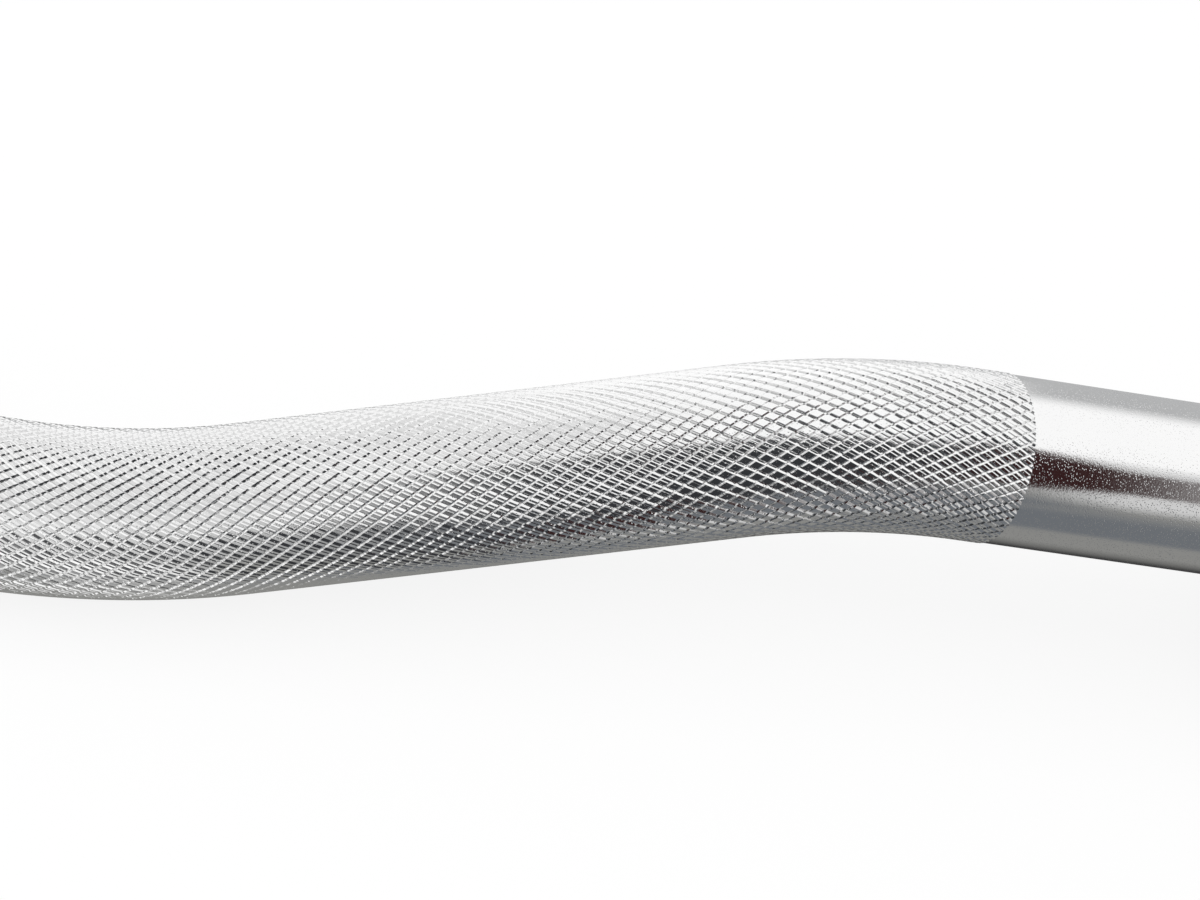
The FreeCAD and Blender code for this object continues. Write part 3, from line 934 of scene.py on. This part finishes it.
def ringed_metal(name, low, high, ring, depth, roughness):
    """Turned metal: noise on the distance from the sleeve axis gives rings that aren't evenly spaced."""
    finish = new_finish(name)
    place = finish.place()
    x, y, z = finish.parts(place)
    radius = finish.math("SQRT", y * y + z * z)
    section = finish.node("ShaderNodeCombineXYZ", sockets={"X": radius, "Y": x})
    rings = finish.noise(section, ring, COARSE_DETAIL)
    stain = finish.noise(place, STAIN_SIZE, FINE_DETAIL)
    rough = roughness + STAIN_ROUGHNESS * (stain - NOISE_MIDDLE)
    return metal(finish, finish.blend(stain, low, high), rough, rings, depth)


def matt_rubber():
    """Dark rubber with a fine grain, paler and rougher where dust lies on it."""
    finish = new_finish("seal_rubber")
    place = finish.place()
    grain = finish.noise(place, GRAIN_SIZE, FINE_DETAIL)
    dust = finish.noise(place, DUST_SIZE, COARSE_DETAIL)
    low, high = RUBBER_LEVELS
    sockets = {
        "Base Color": finish.blend(dust, grey(low), grey(high)),
        "Roughness": RUBBER_ROUGHNESS + DUST_ROUGHNESS * dust,
        "Normal": finish.bump(grain, GRAIN_DEPTH),
    }
    return finish.surface(finish.node("ShaderNodeBsdfPrincipled", sockets=sockets))


def both(*nodes):
    """The solids of both sides by the names of their nodes, without the side."""
    return [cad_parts[f"{side_name}_{node}"] for side_name, _ in SIDES for node in nodes]


turned_pieces = {
    "cap_steel": sleeve_pieces["end_cap"],
    "bush_bronze": both("inner_bushing", "outer_bushing"),
    "washer_steel": both("inner_thrust_washer", "outer_thrust_washer"),
    "spring_steel": both("retaining_ring", "end_cap_ring"),
}
dress(sleeve_pieces["dust_seal"], matt_rubber())
for name, pieces in turned_pieces.items():
    dress(pieces, ringed_metal(name, *TURNED_METALS[name]))

# %% [markdown]
# ## The floor
# The bar lies on white paper in a white room. Plain white paper under a lamp comes out grey, so where
# this floor is seen it is mostly a white glow, with a little paper mixed in that keeps the shadow. Far
# off it is all glow, so that it meets the room with no line between them.

# %% Floor
FLOOR_REACH = 30.0
FLOOR_GLOW = 0.85
SHADOW_REACH = (0.8, 2.5)
PAPER_LEVELS = (0.86, 0.9)
MOTTLE_SIZE = 0.4


def level_sheet(name, reach, z):
    """A level sheet at height z: its corners lie at its reach to both sides, along X and along Y."""
    corners = np.array([(-1, -1), (1, -1), (1, 1), (-1, 1)]) * reach
    points = np.column_stack([corners, np.full(len(corners), z)])
    return new_mesh(name, points, np.arange(len(corners))[None])


def seen_directly(finish):
    """1 for a ray from the camera, or one that a mirror or glass sends on, and 0 for scattered light."""
    camera_ray, mirrored, through_glass = (
        finish.node("ShaderNodeLightPath", output=kind)
        for kind in ("Is Camera Ray", "Is Glossy Ray", "Is Transmission Ray")
    )
    return finish.math("MAXIMUM", finish.math("MAXIMUM", camera_ray, mirrored), through_glass)


def pale_floor():
    """White paper mixed with a white glow, whose share grows to 1 far from the bar."""
    finish = new_finish("pale_floor")
    place = finish.place()
    low, high = PAPER_LEVELS
    colour = finish.blend(finish.noise(place, MOTTLE_SIZE), grey(low), grey(high))
    paper = finish.node("ShaderNodeBsdfDiffuse", sockets={"Color": colour})
    glow = finish.node("ShaderNodeEmission", sockets={"Color": grey(1), "Strength": 1.0})
    distance = finish.node("ShaderNodeVectorMath", {"operation": "LENGTH"}, {0: place}, output="Value")
    far_off = finish.step(distance, *SHADOW_REACH)
    share = (FLOOR_GLOW + (1 - FLOOR_GLOW) * far_off) * seen_directly(finish)
    return finish.surface(finish.node("ShaderNodeMixShader", sockets={0: share, 1: paper, 2: glow}))


floor_z = cad_box[0].z
floor = bpy.data.objects.new("floor", level_sheet("floor", FLOOR_REACH, floor_z))
bpy.context.scene.collection.objects.link(floor)
floor.data.materials.append(pale_floor())
print(f"floor at {floor_z / MM:.1f} mm, {2 * FLOOR_REACH:.0f} m wide")

# %% [markdown]
# ## The room and its lamp
# A wide lamp overhead gives the soft shadow under the bar, and the white room fills it up. The lamp
# itself would be a hard white square in the chrome, so reflections don't see it.

# %% Room and lamp
ROOM_LIGHT = 0.75
LAMP_WIDTH = 1.6
LAMP_POWER = 14
LAMP_PLACE = (0.2, 0, 1.5)

room = bpy.data.worlds.new("room")
bpy.context.scene.world = room
walls = Finish(room)
strength = ROOM_LIGHT + (1 - ROOM_LIGHT) * seen_directly(walls)
backdrop = walls.node("ShaderNodeBackground", sockets={"Color": grey(1), "Strength": strength})
walls.node("ShaderNodeOutputWorld", sockets={"Surface": backdrop})

lamp = bpy.data.objects.new("soft_lamp", bpy.data.lights.new("soft_lamp", "AREA"))
lamp.data.size = LAMP_WIDTH
lamp.data.energy = LAMP_POWER
lamp.location = LAMP_PLACE
lamp.visible_glossy = False
bpy.context.scene.collection.objects.link(lamp)
print(f"lamp {LAMP_WIDTH} m wide, {LAMP_POWER} W, at {LAMP_PLACE} m")

# %% [markdown]
# ## Colours of a tent
# Chrome has no colour of its own: it shows what stands round it. So a tent stands over the bar, and a
# card lies under it, which only reflections see. One direction in it is told by two measures from the
# sleeve axis. Height is its angle about that axis, in degrees: 0 in front, 90 overhead, 180 behind and
# -90 underneath. Aside is how far it leans along the bar from the middle of the grip in the photo, as
# a share of its distance from the axis.

# %% Tent colours
BRIGHT = grey(1.1)
WHITE = grey(1.05)
PALE = grey(0.79)
MIST = grey(0.68)
SHADE = grey(0.49, -0.01)
EDGE = grey(0.46)
DUSK = grey(0.42)
BEIGE = (0.27, 0.27, 0.26, 1)
SLATE = (0.16, 0.172, 0.188, 1)
BAR_SHADOW = grey(0.05)
NIGHT = (0.034, 0.036, 0.04, 1)
MAROON = (0.035, 0.013, 0.013, 1)

# Colours by height, at the left, in the middle and at the right.
LOW_BACK = ((-180, BRIGHT), (-165, BRIGHT), (-142, SHADE))
# Straight under the bar the card is painted dark, and beige towards the front: a painted shadow of the
# bar on the floor, since the glowing card takes no real shadow.
UNDER = (*LOW_BACK, (-112, BAR_SHADOW), (-84, BAR_SHADOW), (-58, BEIGE))
LOW_FRONT = ((-38, BEIGE), (-33, SLATE))
ROOF = ((70, WHITE), (134, WHITE), (150, BRIGHT), (180, BRIGHT))
LEFT_BANDS = (*UNDER, (-34, BEIGE), (-16, DUSK), (0, MIST), (60, MIST), *ROOF)
MIDDLE_BANDS = (*UNDER, *LOW_FRONT, (0, SLATE), (12, BEIGE), (30, EDGE), (60, EDGE), *ROOF)
RIGHT_BANDS = (*UNDER, *LOW_FRONT, (-12, SLATE), (2, BEIGE), (14, MIST), (60, MIST), *ROOF)
TO_MIDDLE = (-0.55, 0.2)
TO_RIGHT = (0.56, 0.8)

# A bright card at the front left, a pale patch of the roof at the left, the shaded back at the right,
# and pale strips past the bar's two ends, in metres from its middle and from the axis.
CARD_ASIDE = ((-1.25, -1.05), (-0.72, -0.58))
CARD_HEIGHT = ((-46, -26), (25, 45))
PATCH_START = (-1.0, -0.88)
PATCH_END = (-0.32, -0.16)
PATCH_HEIGHT = ((-170, -160), (60, 80))
PATCH_LEAN = 0.2
PATCH_LEAN_HEIGHT = (115, 130)
BACK_ASIDE = (0.45, 0.6)
BACK_HEIGHT = ((-150, -112), (132, 158))
STRIP_START = (0.65, 0.8)
STRIP_REACH = (0.2, 0.4)

# The dark panel in front: its heights at the left, and how far they move over each fade to the right.
NEAR_END = (0.1, 0.38)
AT_END = (0.42, 0.55)
PANEL_LOW = -12
PANEL_HIGH = 67
PANEL_EDGE = 4
PANEL_MOVES = ((NEAR_END, -10, -8), (AT_END, 38, 12), (TO_RIGHT, 10, -13))
PANEL_START = (-0.34, 0.12)
PANEL_SLANT = 0.005
PANEL_FADE = (0.7, 1.05)
PANEL_FADE_SHARE = 0.5
print("bands of colour:", [len(bands) for bands in (LEFT_BANDS, MIDDLE_BANDS, RIGHT_BANDS)])

# %% [markdown]
# ## The tent's finish
# A picture of a studio wrapped round the scene could be mirrored instead, but soft cards are easier to
# move one at a time. The roof and the back are white. The dark panel in front gives the knurl its dark
# band, and it narrows and turns maroon to the right. The card at the front left lights the walls of
# the grooves there, and the pale patch makes the pads between them grey.

# %% Tent finish
FULL_TURN = 360
RAMP_MIDDLE = 0.5


def bands_by_height(finish, height, stops):
    """Colours by height: a ramp over one full turn, with the front in its middle."""
    places = [(degrees / FULL_TURN + RAMP_MIDDLE, colour) for degrees, colour in stops]
    return finish.node("ShaderNodeValToRGB", {"stops": places}, {0: height / FULL_TURN + RAMP_MIDDLE})


def surroundings():
    """Bands of colour that fade from left to right, with each card and panel blended over them."""
    finish = new_finish("surroundings")
    x, y, z = finish.parts(finish.place())
    height = finish.math("ARCTAN2", z, 0 - y) * math.degrees(1)
    reach = finish.math("SQRT", y * y + z * z)
    aside = (x - grip_centre.x) / reach

    at_left = bands_by_height(finish, height, LEFT_BANDS)
    in_middle = bands_by_height(finish, height, MIDDLE_BANDS)
    at_right = bands_by_height(finish, height, RIGHT_BANDS)
    colour = finish.blend(finish.step(aside, *TO_MIDDLE), at_left, in_middle)
    colour = finish.blend(finish.step(aside, *TO_RIGHT), colour, at_right)

    card = finish.within(aside, *CARD_ASIDE) * finish.within(height, *CARD_HEIGHT)
    colour = finish.blend(card, colour, BRIGHT)
    leant = aside + PATCH_LEAN * finish.step(height, *PATCH_LEAN_HEIGHT)
    patch = finish.step(aside, *PATCH_START) * (1 - finish.step(leant, *PATCH_END))
    colour = finish.blend(patch * finish.outside(height, *PATCH_HEIGHT), colour, PALE)
    shaded = finish.step(aside, *BACK_ASIDE) * finish.outside(height, *BACK_HEIGHT)
    colour = finish.blend(shaded, colour, SHADE)
    past_ends = finish.step(finish.math("ABSOLUTE", x), *STRIP_START)
    colour = finish.blend(past_ends * (1 - finish.step(reach, *STRIP_REACH)), colour, MIST)

    low, high = PANEL_LOW, PANEL_HIGH
    for fade, low_move, high_move in PANEL_MOVES:
        share = finish.step(aside, *fade)
        low = low + low_move * share
        high = high + high_move * share
    panel = finish.within(height, (low, low + PANEL_EDGE), (high - PANEL_EDGE, high))
    started = finish.step(aside + PANEL_SLANT * height, *PANEL_START)
    fading = 1 - PANEL_FADE_SHARE * finish.step(aside, *PANEL_FADE)
    dark = finish.blend(finish.step(aside, *AT_END), NIGHT, MAROON)
    colour = finish.blend(panel * (started * fading), colour, dark)
    return finish.surface(finish.node("ShaderNodeEmission", sockets={"Color": colour, "Strength": 1.0}))


tent_finish = surroundings()
print(f"{tent_finish.name}: {len(tent_finish.node_tree.nodes)} nodes")

# %% [markdown]
# ## The tent and the card
# The tent is half a tube over the bar, and the card lies just above the floor. Both are hidden from
# everything but reflections, so they neither show in the picture nor shade the floor.

# %% Tent and card
TENT_RADIUS = 1.6
TENT_HALF_LENGTH = 3.0
TENT_STEPS = 48
CARD_LIFT = 0.3 * MM
HIDDEN_FROM = ("camera", "diffuse", "transmission", "volume_scatter", "shadow")


def half_pipe(name):
    """A half tube over the bar: a point at angle t from the front floor is (x, -r cos t, r sin t)."""
    ends = np.array([-1, 1]) * TENT_HALF_LENGTH
    t, x = np.meshgrid(np.linspace(0, math.pi, TENT_STEPS), ends, indexing="ij")
    points = np.stack([x, -TENT_RADIUS * np.cos(t), TENT_RADIUS * np.sin(t) + floor_z], axis=-1)
    strip = np.arange(TENT_STEPS - 1)[:, None] * 2
    return new_mesh(name, points.reshape(-1, 3), strip + np.array([[0, 1, 3, 2]]))


card = level_sheet("card", (TENT_HALF_LENGTH, TENT_RADIUS), floor_z + CARD_LIFT)
for mesh in (half_pipe("tent"), card):
    mesh.materials.append(tent_finish)
    screen = bpy.data.objects.new(mesh.name, mesh)
    bpy.context.scene.collection.objects.link(screen)
    for kind in HIDDEN_FROM:
        setattr(screen, f"visible_{kind}", False)
    print(f"{screen.name}: {len(mesh.polygons)} faces, seen by reflections alone")

# %% [markdown]
# ## Colours at the end
# The picture keeps plain colours: Standard maps what is written to what is seen.

# %% Finish
bpy.context.scene.view_settings.view_transform = "Standard"
